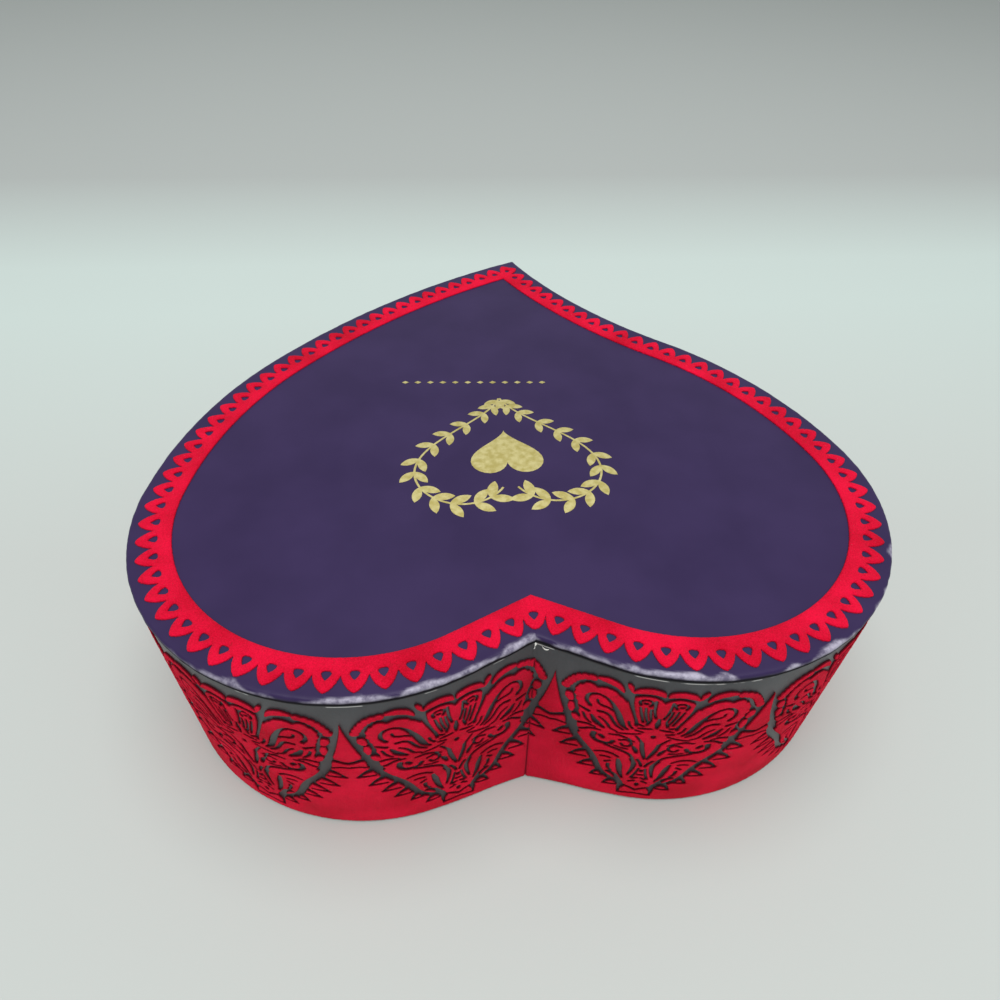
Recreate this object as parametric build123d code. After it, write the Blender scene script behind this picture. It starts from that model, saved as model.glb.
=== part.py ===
from build123d import *
import os
from math import acos, atan2, cos, degrees, radians, sin, sqrt

# Heart-shaped candy box of wrapped board: a full-depth lid with flocked lace lifts off a base,
# which holds a slotted card divider and a soft pad. Millimetres, +Z up, origin on the table
# under the middle of the lid. The cleft of the heart faces -Y and its swept tip points to +Y.

# Outline of the lid rim: each side is a chain of tangent arcs from the cleft to the tip.
# Angles are in degrees round the arc's own centre, counted from +X.
LOBE_RADIUS = 48.4
LOBE_OVERLAP = 30.4
LEFT_FLANK_RADIUS = 100.0
LEFT_FLANK_START = 173.7
LEFT_TAIL_RADIUS = 207.0
LEFT_TAIL_START = 141.1
RIGHT_FLANK_RADIUS = 94.0
RIGHT_FLANK_START = 15.3
RIGHT_TAIL_RADIUS = 139.0
RIGHT_TAIL_START = 50.5

# Sheet materials
TOP_BOARD = 1.4
SKIRT_BOARD = 1.2
BASE_BOARD = 1.6
WALL_BOARD = 1.2
DIVIDER_CARD = 0.8
COVER_PAPER = 0.25
WRAP_PAPER = 0.25
LINER_PAPER = 0.25
STAY_TAPE = 0.2
FLOCK = 0.35

# Heights and margins
LID_TOP_HEIGHT = 51.0
LID_LIFT = 0.4
COVER_TURN_UNDER = 9.0
LID_HEM = 12.0
BASE_HEM = 10.0
STAY_WIDTH = 20.0
STAY_END_GAP = 2.0

# Room between pieces
GLUE_LINE = 0.02
LID_FIT = 0.6
DIVIDER_FIT = 0.4
PAD_FIT = 0.6
SLOT_FIT = 0.3
LINER_FIT = 0.1

# The cleft is blunt: its crease lies this far out from where the round lobes would cross
CREASE_TENT = 2.3

# Lace border on the lid top: band, pointed scallops and a hole in each scallop
LACE_EDGE_GAP = 2.4
LACE_SCALLOP = 3.3
LACE_SHOULDER_DEPTH = 1.8
LACE_SHOULDER_WIDTH = 3.4
LACE_BAND = 3.5
LACE_PITCH = 5.0
LACE_HOLE_WIDTH = 2.0
LACE_HOLE_HEIGHT = 2.4

# Lace hearts on the skirt: each is drawn as a half, with a spire in the gap to the next one
HEART_COUNT = 12
HEART_PHASE = 25.6
LACE_TOP_GAP = 1.1
HEART_FOOT = 3.0
HEART_SPIRE_GAP = 1.9
HEART_POINT = 0.10
SPIRE_DROP = 4.0
SPIRE_HEIGHT = 16.0
SPIRE_WIDTH = 5.2
SPIRE_TIP_WIDTH = 0.3
CHANNEL = 1.8
PETAL_FOOT = 0.925
PETAL_GAP = 1.2
AXIS_LAP = 0.15
LACE_SEAM = 2.4

# Divider and pad
CELL = 33.0
BACK_CARD_PLACE = 13.8
PAD_THICKNESS = 6.0
PAD_HEADROOM = 1.0
PAD_EDGE = 1.5


def ray(angle):
    return Vector(cos(radians(angle)), sin(radians(angle)))


def circle_meet(centre_a, radius_a, centre_b, radius_b):
    """The crossing of two circles that lies to the left on the way from a to b."""
    between = centre_b - centre_a
    span = between.length
    along = (radius_a**2 - radius_b**2 + span**2) / (2 * span)
    across = sqrt(radius_a**2 - along**2)
    forward = between / span
    return centre_a + forward * along + Vector(-forward.Y, forward.X) * across


def bearing(centre, point):
    return degrees(atan2(point.Y - centre.Y, point.X - centre.X)) % 360


# Arc centres, first with the lobes on the X axis, then moved so that the outline is centred
lobe_offset = LOBE_RADIUS - LOBE_OVERLAP / 2
left_lobe = Vector(-lobe_offset, 0)
right_lobe = Vector(lobe_offset, 0)
left_flank = left_lobe + ray(LEFT_FLANK_START) * (LOBE_RADIUS - LEFT_FLANK_RADIUS)
left_tail = left_flank + ray(LEFT_TAIL_START) * (LEFT_FLANK_RADIUS - LEFT_TAIL_RADIUS)
right_flank = right_lobe + ray(RIGHT_FLANK_START) * (LOBE_RADIUS - RIGHT_FLANK_RADIUS)
right_tail = right_flank + ray(RIGHT_TAIL_START) * (RIGHT_FLANK_RADIUS + RIGHT_TAIL_RADIUS)
first_tip = circle_meet(left_tail, LEFT_TAIL_RADIUS, right_tail, RIGHT_TAIL_RADIUS)
centring = Vector(0, (LOBE_RADIUS - first_tip.Y) / 2)
left_lobe, left_flank, left_tail = [c + centring for c in (left_lobe, left_flank, left_tail)]
right_lobe, right_flank, right_tail = [c + centring for c in (right_lobe, right_flank, right_tail)]

# Layers of the lid and the base, as insets from the rim
skirt_face = FLOCK
skirt_wrap_back = skirt_face + WRAP_PAPER
skirt_board_out = skirt_wrap_back + GLUE_LINE
skirt_board_in = skirt_board_out + SKIRT_BOARD
hem_out = skirt_board_in + GLUE_LINE
hem_in = hem_out + WRAP_PAPER
base_face = hem_in + LID_FIT
base_wrap_back = base_face + WRAP_PAPER
wall_out = base_wrap_back + GLUE_LINE
wall_in = wall_out + WALL_BOARD
base_hem_out = wall_in + GLUE_LINE
base_hem_in = base_hem_out + WRAP_PAPER

# Layers by height
cover_bottom = LID_TOP_HEIGHT - COVER_PAPER
top_board_bottom = cover_bottom - TOP_BOARD
rim_bottom = top_board_bottom - COVER_PAPER
liner_bottom = rim_bottom - LINER_PAPER
skirt_board_foot = LID_LIFT + WRAP_PAPER
base_board_bottom = WRAP_PAPER
base_board_top = base_board_bottom + BASE_BOARD
floor_top = base_board_top + LINER_PAPER
base_top = liner_bottom
wall_top = base_top - WRAP_PAPER
pad_top = liner_bottom - PAD_HEADROOM
divider_top = pad_top - PAD_THICKNESS
divider_height = divider_top - floor_top
lace_top = rim_bottom - LACE_TOP_GAP
spire_top = lace_top - SPIRE_DROP
spire_foot = spire_top - SPIRE_HEIGHT


def tip(inset):
    return circle_meet(left_tail, LEFT_TAIL_RADIUS - inset, right_tail, RIGHT_TAIL_RADIUS + inset)


# The outline leaves the lobes at one angle and runs straight to the crease, like a tent
tent_point = Vector(0, left_lobe.Y - sqrt(LOBE_RADIUS**2 - lobe_offset**2) - CREASE_TENT)
tent_angle = bearing(left_lobe, tent_point) - 360
tent_angle -= degrees(acos(LOBE_RADIUS / (tent_point - left_lobe).length))


def crease(inset):
    """Point on the axis where the two sides of the heart meet at the cleft."""
    normal = ray(tent_angle)
    return Vector(0, left_lobe.Y + (LOBE_RADIUS - inset - lobe_offset * normal.X) / normal.Y)


def side_arcs(side, inset):
    """Arcs of one side from the flap to the tip: centre, radius, bulge (+1 or -1 if hollow), two angles."""
    start = tent_angle
    point = tip(inset)
    if side == "left":
        return [
            (left_lobe, LOBE_RADIUS, 1, start, LEFT_FLANK_START - 360),
            (left_flank, LEFT_FLANK_RADIUS, 1, LEFT_FLANK_START, LEFT_TAIL_START),
            (left_tail, LEFT_TAIL_RADIUS, 1, LEFT_TAIL_START, bearing(left_tail, point)),
        ]
    return [
        (right_lobe, LOBE_RADIUS, 1, -180 - start, RIGHT_FLANK_START),
        (right_flank, RIGHT_FLANK_RADIUS, 1, RIGHT_FLANK_START, RIGHT_TAIL_START),
        (right_tail, RIGHT_TAIL_RADIUS, -1, RIGHT_TAIL_START + 180, bearing(right_tail, point)),
    ]


def on_arc(arc, angle, inset):
    centre, radius, bulge = arc[:3]
    return centre + ray(angle) * (radius - bulge * inset)


def side_edges(side, inset):
    """Edges of one side of the outline, from the crease to the tip."""
    arcs = side_arcs(side, inset)
    edges = [Line(crease(inset), on_arc(arcs[0], arcs[0][3], inset))]
    for arc in arcs:
        stops = [on_arc(arc, angle, inset) for angle in (arc[3], (arc[3] + arc[4]) / 2, arc[4])]
        edges.append(ThreePointArc(*stops))
    return edges


def heart_wire(inset):
    return Wire(side_edges("left", inset) + side_edges("right", inset))


def heart_slab(inset, low, high):
    face = Plane.XY.offset(low) * Face(heart_wire(inset))
    return extrude(face, amount=high - low, dir=(0, 0, 1))


def heart_ring(outer, inner, low, high):
    return heart_slab(outer, low, high) - heart_slab(inner, low, high)


def walk(side, distance, inset):
    """Point and outward normal at a distance from the crease, measured along one side."""
    arcs = side_arcs(side, inset)
    flap = on_arc(arcs[0], arcs[0][3], inset) - crease(inset)
    if distance <= flap.length:
        return crease(inset) + flap * (distance / flap.length), ray(arcs[0][3])
    distance -= flap.length
    for arc in arcs:
        turn = arc[4] - arc[3]
        length = (arc[1] - arc[2] * inset) * abs(radians(turn))
        if distance <= length or arc is arcs[-1]:
            angle = arc[3] + turn * distance / length
            return on_arc(arc, angle, inset), ray(angle) * arc[2]
        distance -= length


def side_length(side, inset):
    return sum(edge.length for edge in side_edges(side, inset))


def lid_cover_paper():
    """Cover sheet: top, rim and the margin turned under the board."""
    sheet = heart_slab(0, rim_bottom, LID_TOP_HEIGHT)
    sheet -= heart_slab(COVER_PAPER, top_board_bottom, cover_bottom)
    return sheet - heart_slab(COVER_TURN_UNDER, rim_bottom, top_board_bottom)


def lid_side_wrap():
    """Side paper: outer face, hem under the board edge, and the part turned up inside."""
    outside = heart_ring(skirt_face, skirt_wrap_back, LID_LIFT, rim_bottom)
    under = heart_ring(skirt_face, hem_in, LID_LIFT, skirt_board_foot)
    inside = heart_ring(hem_out, hem_in, LID_LIFT, LID_LIFT + LID_HEM)
    return outside + under + inside


def base_side_wrap():
    """Base paper: outer face, and the part turned over the top edge and down inside."""
    outside = heart_ring(base_face, base_wrap_back, 0, base_top)
    over = heart_ring(base_face, base_hem_in, wall_top, base_top)
    inside = heart_ring(base_hem_out, base_hem_in, base_top - BASE_HEM, base_top)
    return outside + over + inside


def seam_stay(face_inset, low, high):
    """Paper tape inside the tip, over the butt joint of a board strip."""
    tape = heart_ring(face_inset + GLUE_LINE, face_inset + GLUE_LINE + STAY_TAPE, low, high)
    reach = Pos(tip(face_inset).X, tip(face_inset).Y, (low + high) / 2)
    return tape & (reach * Box(STAY_WIDTH, STAY_WIDTH, high - low))


valley = LACE_EDGE_GAP + LACE_SCALLOP


def scallop_place(side, distance, inset):
    """A place on the lid: distance from the crease along the line of scallop valleys, and inset."""
    point, normal = walk(side, distance, valley)
    return point + normal * (valley - inset)


def lace_hole(side, crown):
    """Three-cornered hole: a side along the band and a point towards the rim."""
    half_width = LACE_HOLE_WIDTH / 2
    inner = valley + LACE_HOLE_HEIGHT / 2
    outer = valley - LACE_HOLE_HEIGHT / 2
    places = ((-half_width, inner), (0, outer), (half_width, inner))
    return Wire(Polyline(*[scallop_place(side, crown + shift, inset) for shift, inset in places], close=True))


def lace_side(side):
    """Scallop outline and holes of one side, from just past the cleft to just before the tip."""
    length = side_length(side, valley)
    count = round(length / LACE_PITCH)
    pitch = length / count
    shoulder = LACE_EDGE_GAP + LACE_SHOULDER_DEPTH
    outline = []
    holes = []
    for k in range(count):
        if k > 0:
            crown = k * pitch
            reach = LACE_SHOULDER_WIDTH / 2
            for shift, inset in ((-reach, shoulder), (0, LACE_EDGE_GAP), (reach, shoulder)):
                outline.append(scallop_place(side, crown + shift, inset))
            holes.append(lace_hole(side, crown))
        outline.append(scallop_place(side, (k + 0.5) * pitch, valley))
    return outline, holes


def lid_lace_border():
    """Flock border: a band with pointed scallops towards the rim, one at the cleft and one at the tip."""
    left_points, left_holes = lace_side("left")
    right_points, right_holes = lace_side("right")
    around = [crease(LACE_EDGE_GAP)] + left_points + [tip(LACE_EDGE_GAP)] + right_points[::-1]
    outer = Wire(Polyline(*around, close=True))
    inner = heart_wire(valley + LACE_BAND)
    face = Plane.XY.offset(LID_TOP_HEIGHT) * Face(outer, [inner] + left_holes + right_holes)
    return extrude(face, amount=FLOCK, dir=(0, 0, 1))


# One lace heart and its spire fill one repeat of the skirt pattern
half_pitch = (side_length("left", 0) + side_length("right", 0)) / HEART_COUNT / 2
heart_half_width = half_pitch - HEART_SPIRE_GAP


def motif(across, up):
    """A place in half a lace heart, as shares of its width from the axis and of its height."""
    return Vector(across * heart_half_width, HEART_FOOT + up * (lace_top - HEART_FOOT))


def heart_window():
    """Open ground round half a lace heart: above its petals, beside the spire and down the channel."""
    petal_foot = motif(0, PETAL_FOOT).Y
    channel = Vector(CHANNEL, 0)
    outline = [
        Vector(-AXIS_LAP, rim_bottom),
        Vector(-AXIS_LAP, petal_foot),
        Vector(PETAL_GAP / 2, petal_foot),
        motif(0.20, 0.985),
        motif(0.55, 0.985),
        motif(0.96, 0.80),
        motif(0.80, 0.42),
        motif(HEART_POINT, 0.035),
        motif(HEART_POINT, 0) + channel,
        motif(0.80, 0.38) + channel,
        Vector(half_pitch - SPIRE_WIDTH / 2, spire_foot),
        Vector(half_pitch - SPIRE_TIP_WIDTH / 2, spire_top),
        Vector(half_pitch + SPIRE_TIP_WIDTH, spire_top),
        Vector(half_pitch + SPIRE_TIP_WIDTH, rim_bottom),
    ]
    return Wire(Polyline(*outline, close=True))


def window_prisms(side):
    """Cutters for every half heart that reaches onto one side of the skirt."""
    length = side_length(side, 0)
    direction = 1 if side == "right" else -1
    depth = heart_half_width / 3
    prisms = []
    for k in range(-HEART_COUNT, HEART_COUNT):
        for hand in (-1, 1):
            axis = direction * (HEART_PHASE + k * 2 * half_pitch)
            middle = axis + hand * half_pitch / 2
            if middle < -half_pitch or middle > length + half_pitch:
                continue
            anchor = min(max(middle, 0), length)
            point, normal = walk(side, anchor, 0)
            plane = Plane(point - normal * depth, x_dir=Vector(0, 0, 1).cross(normal), z_dir=normal)
            shift = Location(((axis - anchor) * direction, 0, 0))
            outline = heart_window() if hand * direction > 0 else heart_window().mirror(Plane.YZ)
            face = plane * Face(outline).moved(shift)
            prisms.append(extrude(face, amount=depth + FLOCK * 2, dir=normal))
    return prisms


def lid_skirt_lace():
    """Flock layer on the side paper: one strip a side, joined at the crease and by a plain bar at the tip."""
    strips = []
    for side in ("left", "right"):
        outer = side_edges(side, 0)
        inner = side_edges(side, skirt_face - GLUE_LINE)
        ends = [Line(outer[0] @ 0, inner[0] @ 0), Line(outer[-1] @ 1, inner[-1] @ 1)]
        face = Plane.XY.offset(LID_LIFT) * Face(Wire(outer + inner + ends))
        strip = extrude(face, amount=lace_top - LID_LIFT, dir=(0, 0, 1))
        seam_bar = strip & (Pos(tip(0).X, tip(0).Y, 0) * Box(LACE_SEAM, LACE_SEAM, 2 * LID_TOP_HEIGHT))
        strips.append(strip - window_prisms(side) + seam_bar)
    return strips[0] + strips[1]


def candy_pad():
    """Soft paper cushion: full at mid height, drawn in along its upper and lower edges."""
    full = base_hem_in + PAD_FIT
    drawn_in = full + PAD_EDGE
    sections = (
        (drawn_in, divider_top),
        (full, divider_top + PAD_EDGE),
        (full, pad_top - PAD_EDGE),
        (drawn_in, pad_top),
    )
    return loft([Plane.XY.offset(height) * Face(heart_wire(inset)) for inset, height in sections], ruled=True)


def divider_strip(along, offset, slots):
    """One card strip cut to the inside of the base, with half-depth slots at the crossings."""
    inside = heart_slab(base_hem_in + DIVIDER_FIT, floor_top, divider_top)
    span = 4 * (lobe_offset + LOBE_RADIUS)
    slot_width = DIVIDER_CARD + SLOT_FIT
    slot_height = (divider_height + SLOT_FIT) / 2
    middle = floor_top + divider_height / 2
    if along == "Y":
        strip = inside & (Pos(offset, 0, middle) * Box(DIVIDER_CARD, span, divider_height))
        places = [Pos(offset, slot, divider_top - slot_height / 2) for slot in slots]
    else:
        strip = inside & (Pos(0, offset, middle) * Box(span, DIVIDER_CARD, divider_height))
        places = [Pos(slot, offset, floor_top + slot_height / 2) for slot in slots]
    return strip - [place * Box(slot_width, slot_width, slot_height) for place in places]


LONG_CARDS = {"left": -CELL, "middle": 0.0, "right": CELL}
CROSS_CARDS = {"front": BACK_CARD_PLACE - 2 * CELL, "middle": BACK_CARD_PLACE - CELL, "back": BACK_CARD_PLACE}

pieces = {
    "lid_top_board": heart_slab(COVER_PAPER + GLUE_LINE, top_board_bottom, cover_bottom),
    "lid_cover_paper": lid_cover_paper(),
    "lid_lace_border": lid_lace_border(),
    "lid_skirt_board": heart_ring(skirt_board_out, skirt_board_in, skirt_board_foot, rim_bottom),
    "lid_seam_stay": seam_stay(skirt_board_in, LID_LIFT + LID_HEM + STAY_END_GAP, liner_bottom - STAY_END_GAP),
    "lid_side_wrap": lid_side_wrap(),
    "lid_skirt_lace": lid_skirt_lace(),
    "lid_liner": heart_slab(skirt_board_in + LINER_FIT, liner_bottom, rim_bottom),
    "base_bottom_board": heart_slab(wall_in + GLUE_LINE, base_board_bottom, base_board_top),
    "base_wall_board": heart_ring(wall_out, wall_in, base_board_bottom, wall_top),
    "base_seam_stay": seam_stay(wall_in, floor_top + STAY_END_GAP, base_top - BASE_HEM - STAY_END_GAP),
    "base_side_wrap": base_side_wrap(),
    "base_bottom_paper": heart_slab(base_wrap_back + LINER_FIT, 0, base_board_bottom),
    "base_floor_paper": heart_slab(wall_in + LINER_FIT, base_board_top, floor_top),
    "candy_pad": candy_pad(),
}
for name, offset in LONG_CARDS.items():
    pieces["divider_long_" + name] = divider_strip("Y", offset, CROSS_CARDS.values())
for name, offset in CROSS_CARDS.items():
    pieces["divider_cross_" + name] = divider_strip("X", offset, LONG_CARDS.values())

os.makedirs("parts", exist_ok=True)
for name, piece in pieces.items():
    export_step(piece, "parts/" + name + ".step")
    print(name, round(piece.volume, 1), len(piece.solids()))
print("half pitch of the lace hearts", round(half_pitch, 3))
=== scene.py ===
# %% [markdown]
# # A heart-shaped candy box with flocked lace
# The real thing is a box of board wrapped in paper. Its deep lid carries two layers of red flock, a short
# velvet pile glued on in the shape of lace. The construction arrives as a fixed frame of solids. This
# lesson keeps every solid where it is and gives the box its looks: pile, paper, foil and soft light.

# %% Load the frame
import math

import bpy
import numpy as np
from mathutils import Matrix, Vector, noise
from mathutils.geometry import delaunay_2d_cdt


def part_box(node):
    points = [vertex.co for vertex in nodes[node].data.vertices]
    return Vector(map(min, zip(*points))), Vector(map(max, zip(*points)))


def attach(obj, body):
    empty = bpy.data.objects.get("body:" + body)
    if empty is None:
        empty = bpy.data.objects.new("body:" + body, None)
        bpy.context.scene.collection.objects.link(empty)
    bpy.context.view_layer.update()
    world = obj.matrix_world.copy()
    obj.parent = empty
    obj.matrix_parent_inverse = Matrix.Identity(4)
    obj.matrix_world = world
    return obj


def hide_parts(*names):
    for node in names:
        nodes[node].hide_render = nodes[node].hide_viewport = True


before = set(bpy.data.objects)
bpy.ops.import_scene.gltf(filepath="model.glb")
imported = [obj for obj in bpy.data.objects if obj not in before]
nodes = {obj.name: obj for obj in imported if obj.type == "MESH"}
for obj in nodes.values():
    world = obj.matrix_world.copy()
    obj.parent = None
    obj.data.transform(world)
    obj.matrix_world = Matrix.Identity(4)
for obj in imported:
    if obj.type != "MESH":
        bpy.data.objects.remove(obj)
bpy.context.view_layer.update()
MM = 0.001
SEED = 14
scene = bpy.context.scene
rng = np.random.default_rng(SEED)


def add(name, data):
    """A new object in the scene."""
    thing = bpy.data.objects.new(name, data)
    scene.collection.objects.link(thing)
    return thing


# %% [markdown]
# The heart outline is a straight flap at the cleft and a chain of round arcs that run into each other: lobe,
# flank and tail on each side. One could trace the solid's mesh, but a few radii give every inset of the outline
# exactly, so rim, lace and pad all follow the same line. Lengths here are millimetres.

# %% Arcs of the heart outline
LOBE_RADIUS = 48.4
LOBE_OFFSET = 33.2
CREASE_TENT = 2.3
FLANK_RADIUS = {"left": 100.0, "right": 94.0}
FLANK_START = {"left": 173.7, "right": 15.3}
TAIL_RADIUS = {"left": 207.0, "right": 139.0}
TAIL_START = {"left": 141.1, "right": 50.5}
SIDES = ("left", "right")


def ray(angle):
    return np.array([math.cos(math.radians(angle)), math.sin(math.radians(angle))])


def quarter_turn(direction):
    return np.array([-direction[1], direction[0]])


def bearing(centre, point):
    return math.degrees(math.atan2(point[1] - centre[1], point[0] - centre[0])) % 360


lobes = {"left": np.array([-LOBE_OFFSET, 0.0]), "right": np.array([LOBE_OFFSET, 0.0])}
flanks = {s: lobes[s] + ray(FLANK_START[s]) * (LOBE_RADIUS - FLANK_RADIUS[s]) for s in SIDES}
tails = {
    "left": flanks["left"] + ray(TAIL_START["left"]) * (FLANK_RADIUS["left"] - TAIL_RADIUS["left"]),
    "right": flanks["right"] + ray(TAIL_START["right"]) * (FLANK_RADIUS["right"] + TAIL_RADIUS["right"]),
}


def tip_point(inset):
    """Where the two tails cross, for an outline drawn inside the rim."""
    span = tails["right"] - tails["left"]
    reach = np.linalg.norm(span)
    left_radius = TAIL_RADIUS["left"] - inset
    right_radius = TAIL_RADIUS["right"] + inset
    along = (left_radius**2 - right_radius**2 + reach**2) / (2 * reach)
    across = math.sqrt(left_radius**2 - along**2)
    forward = span / reach
    return tails["left"] + forward * along + quarter_turn(forward) * across


# The outline is moved so that its middle lies over the origin, as the solids have it
middle_shift = np.array([0.0, (LOBE_RADIUS - tip_point(0)[1]) / 2])
for centres in (lobes, flanks, tails):
    for side in SIDES:
        centres[side] = centres[side] + middle_shift
lobes_cross = lobes["left"][1] - math.sqrt(LOBE_RADIUS**2 - LOBE_OFFSET**2)
tent_point = np.array([0.0, lobes_cross - CREASE_TENT])
tent_angle = bearing(lobes["left"], tent_point) - 360
tent_angle -= math.degrees(math.acos(LOBE_RADIUS / np.linalg.norm(tent_point - lobes["left"])))
print("tip", tip_point(0).round(2), "crease", tent_point.round(2))


# %% Walk along the outline
def crease_point(inset):
    normal = ray(tent_angle)
    below = (LOBE_RADIUS - inset - LOBE_OFFSET * normal[0]) / normal[1]
    return np.array([0.0, lobes["left"][1] + below])


def side_arcs(side, inset):
    """Arcs from the flap at the cleft to the tip: centre, radius, bulge (-1 where hollow), two angles."""
    end = bearing(tails[side], tip_point(inset))
    if side == "left":
        lobe_turn = (tent_angle, FLANK_START[side] - 360)
        tail = (tails[side], TAIL_RADIUS[side], 1, TAIL_START[side], end)
    else:
        lobe_turn = (-180 - tent_angle, FLANK_START[side])
        tail = (tails[side], TAIL_RADIUS[side], -1, TAIL_START[side] + 180, end)
    return [
        (lobes[side], LOBE_RADIUS, 1, *lobe_turn),
        (flanks[side], FLANK_RADIUS[side], 1, FLANK_START[side], TAIL_START[side]),
        tail,
    ]


def flap_end(side, inset):
    centre, radius, _, first, _ = side_arcs(side, inset)[0]
    return centre + ray(first) * (radius - inset)


def run_lengths(side, inset):
    """Lengths of the straight flap and the three arcs on an outline drawn inset from the rim."""
    turns = [
        (radius - bulge * inset) * abs(math.radians(last - first))
        for _, radius, bulge, first, last in side_arcs(side, inset)
    ]
    return [np.linalg.norm(flap_end(side, inset) - crease_point(inset)), *turns]


def side_points(side, inset, shares):
    """Points at shares 0 to 1 of one side, from crease to tip, on the outline drawn inset from the rim."""
    stops = np.cumsum([0] + run_lengths(side, 0))
    stops = stops / stops[-1]
    arcs = side_arcs(side, inset)
    points = []
    for share in shares:
        which = min(int(np.searchsorted(stops, share, side="right")) - 1, 3)
        part = (share - stops[which]) / (stops[which + 1] - stops[which])
        if which == 0:
            points.append(crease_point(inset) * (1 - part) + flap_end(side, inset) * part)
        else:
            centre, radius, bulge, first, last = arcs[which - 1]
            points.append(centre + ray(first + (last - first) * part) * (radius - bulge * inset))
    return np.array(points)


def heart_loop(inset, count):
    """Closed outline, from the crease round the right side to the tip and back by the left side."""
    shares = np.linspace(0, 1, count + 1)
    right = side_points("right", inset, shares[:-1])
    left = side_points("left", inset, shares[:0:-1])
    return np.vstack([right, left])


print("side lengths in mm", [round(sum(run_lengths(s, 0)), 1) for s in SIDES])

# %% [markdown]
# The camera stands where the photograph was taken from. Upright edges on the box run to one point far below
# the picture, which gives the tilt; the lens and the place follow from the outline. A camera in Blender looks
# along its own -Z, so its three axes are built one by one and put into a matrix.

# %% Camera
PICTURE = 1000
FOCAL_PIXELS = 708.5
DOWN_POINT = (474.6, 1225.5)
CAMERA_PLACE = Vector((-15.57, -144.2, 159.6)) * MM
HEADING = math.radians(6.09)
SENSOR = 36.0
CLIP_START = 0.01

camera = add("photo_camera", bpy.data.cameras.new("photo_camera"))
camera.data.sensor_width = SENSOR
camera.data.lens = SENSOR * FOCAL_PIXELS / PICTURE
camera.data.clip_start = CLIP_START
down_x = (DOWN_POINT[0] - PICTURE / 2) / FOCAL_PIXELS
down_y = (PICTURE / 2 - DOWN_POINT[1]) / FOCAL_PIXELS
up_seen = -Vector((down_x, down_y, 1)).normalized()
away_seen = (Vector((0, 0, 1)) - up_seen * up_seen.z).normalized()
right_seen = up_seen.cross(away_seen)
away = Vector((math.sin(HEADING), math.cos(HEADING), 0))
right = Vector((math.cos(HEADING), -math.sin(HEADING), 0))
axes = [right * right_seen[k] + away * away_seen[k] + Vector((0, 0, 1)) * up_seen[k] for k in range(3)]
turn = Matrix((axes[0], axes[1], -axes[2])).transposed()
camera.matrix_world = Matrix.Translation(CAMERA_PLACE) @ turn.to_4x4()
scene.camera = camera
scene.view_settings.view_transform = "Standard"
print("camera lens", round(camera.data.lens, 2), "mm")

# %% [markdown]
# A product photograph like this one is lit by a big soft source over the box and a smaller one near the lens,
# which also lights the rim; the bright streaks along the rim are a painted highlight. Area lamps do the same: the
# larger the lamp, the softer the shadow. The floor is one wide sheet whose colour drifts to the backdrop's, so no
# wall hides the box from behind.


# %% Helpers for node materials
def finish(name):
    """A new material with its node tree and its main shader."""
    material = bpy.data.materials.new(name)
    material.use_nodes = True
    tree = material.node_tree
    return material, tree, tree.nodes["Principled BSDF"]


def feed(node, inputs):
    """Links or sets a node's inputs by name or number. Nodes and sockets know their tree as id_data."""
    for key, value in inputs.items():
        if isinstance(value, bpy.types.NodeSocket):
            node.id_data.links.new(value, node.inputs[key])
        else:
            node.inputs[key].default_value = value


def put(tree, kind, inputs, **settings):
    """Adds a node with its options and inputs."""
    node = tree.nodes.new(kind)
    for key, value in settings.items():
        setattr(node, key, value)
    feed(node, inputs)
    return node


def place_on_surface(tree):
    return put(tree, "ShaderNodeTexCoord", {}).outputs["Object"]


def painted(tree, name):
    """The number painted on each point under this name."""
    return put(tree, "ShaderNodeAttribute", {}, attribute_name=name).outputs["Fac"]


def cloud(tree, scale, detail=2.0, roughness=0.5, where=None):
    """Noise whose blotches are about 1 / scale metres wide."""
    where = where or place_on_surface(tree)
    inputs = {"Vector": where, "Scale": scale, "Detail": detail, "Roughness": roughness}
    return put(tree, "ShaderNodeTexNoise", inputs).outputs["Fac"]


def maths(operation, first, second):
    return put(first.id_data, "ShaderNodeMath", {0: first, 1: second}, operation=operation).outputs["Value"]


def average(first, second):
    return maths("MULTIPLY", maths("ADD", first, second), 0.5)


def spread(value, low, high, first=0.0, last=1.0):
    """Number that goes from first to last while value goes from low to high."""
    inputs = {"Value": value, "From Min": low, "From Max": high, "To Min": first, "To Max": last}
    return put(value.id_data, "ShaderNodeMapRange", inputs).outputs["Result"]


def fade(factor, low, high, first, second):
    """Colour that goes from first to second while factor goes from low to high."""
    ramp = put(factor.id_data, "ShaderNodeValToRGB", {"Fac": factor})
    for stop, place, colour in zip(ramp.color_ramp.elements, (low, high), (first, second)):
        stop.position = place
        stop.color = (*colour, 1)
    return ramp.outputs["Color"]


def cover_with(factor, under, over):
    """Lays a second colour over the first by a factor from 0 to 1."""
    inputs = {"Factor": factor, 6: under, 7: (*over, 1)}
    tree = factor.id_data
    return put(tree, "ShaderNodeMix", inputs, data_type="RGBA", clamp_factor=True).outputs[2]


def relief(height, depth, strength):
    """Bump of a real depth in metres."""
    inputs = {"Height": height, "Distance": depth, "Strength": strength}
    return put(height.id_data, "ShaderNodeBump", inputs).outputs["Normal"]


# %% Floor and lamps
FLOOR_NEAR = (0.480, 0.505, 0.487)
FLOOR_FAR = (0.520, 0.590, 0.565)
FLOOR_DRIFT = 0.14
BACKDROP = (0.405, 0.425, 0.415)
BACKDROP_FROM, BACKDROP_FULL = 0.185, 0.30
FLOOR_HALF = 3.0
WORLD_LIGHT = (0.60, 0.64, 0.63)
WORLD_STRENGTH = 0.78

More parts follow.
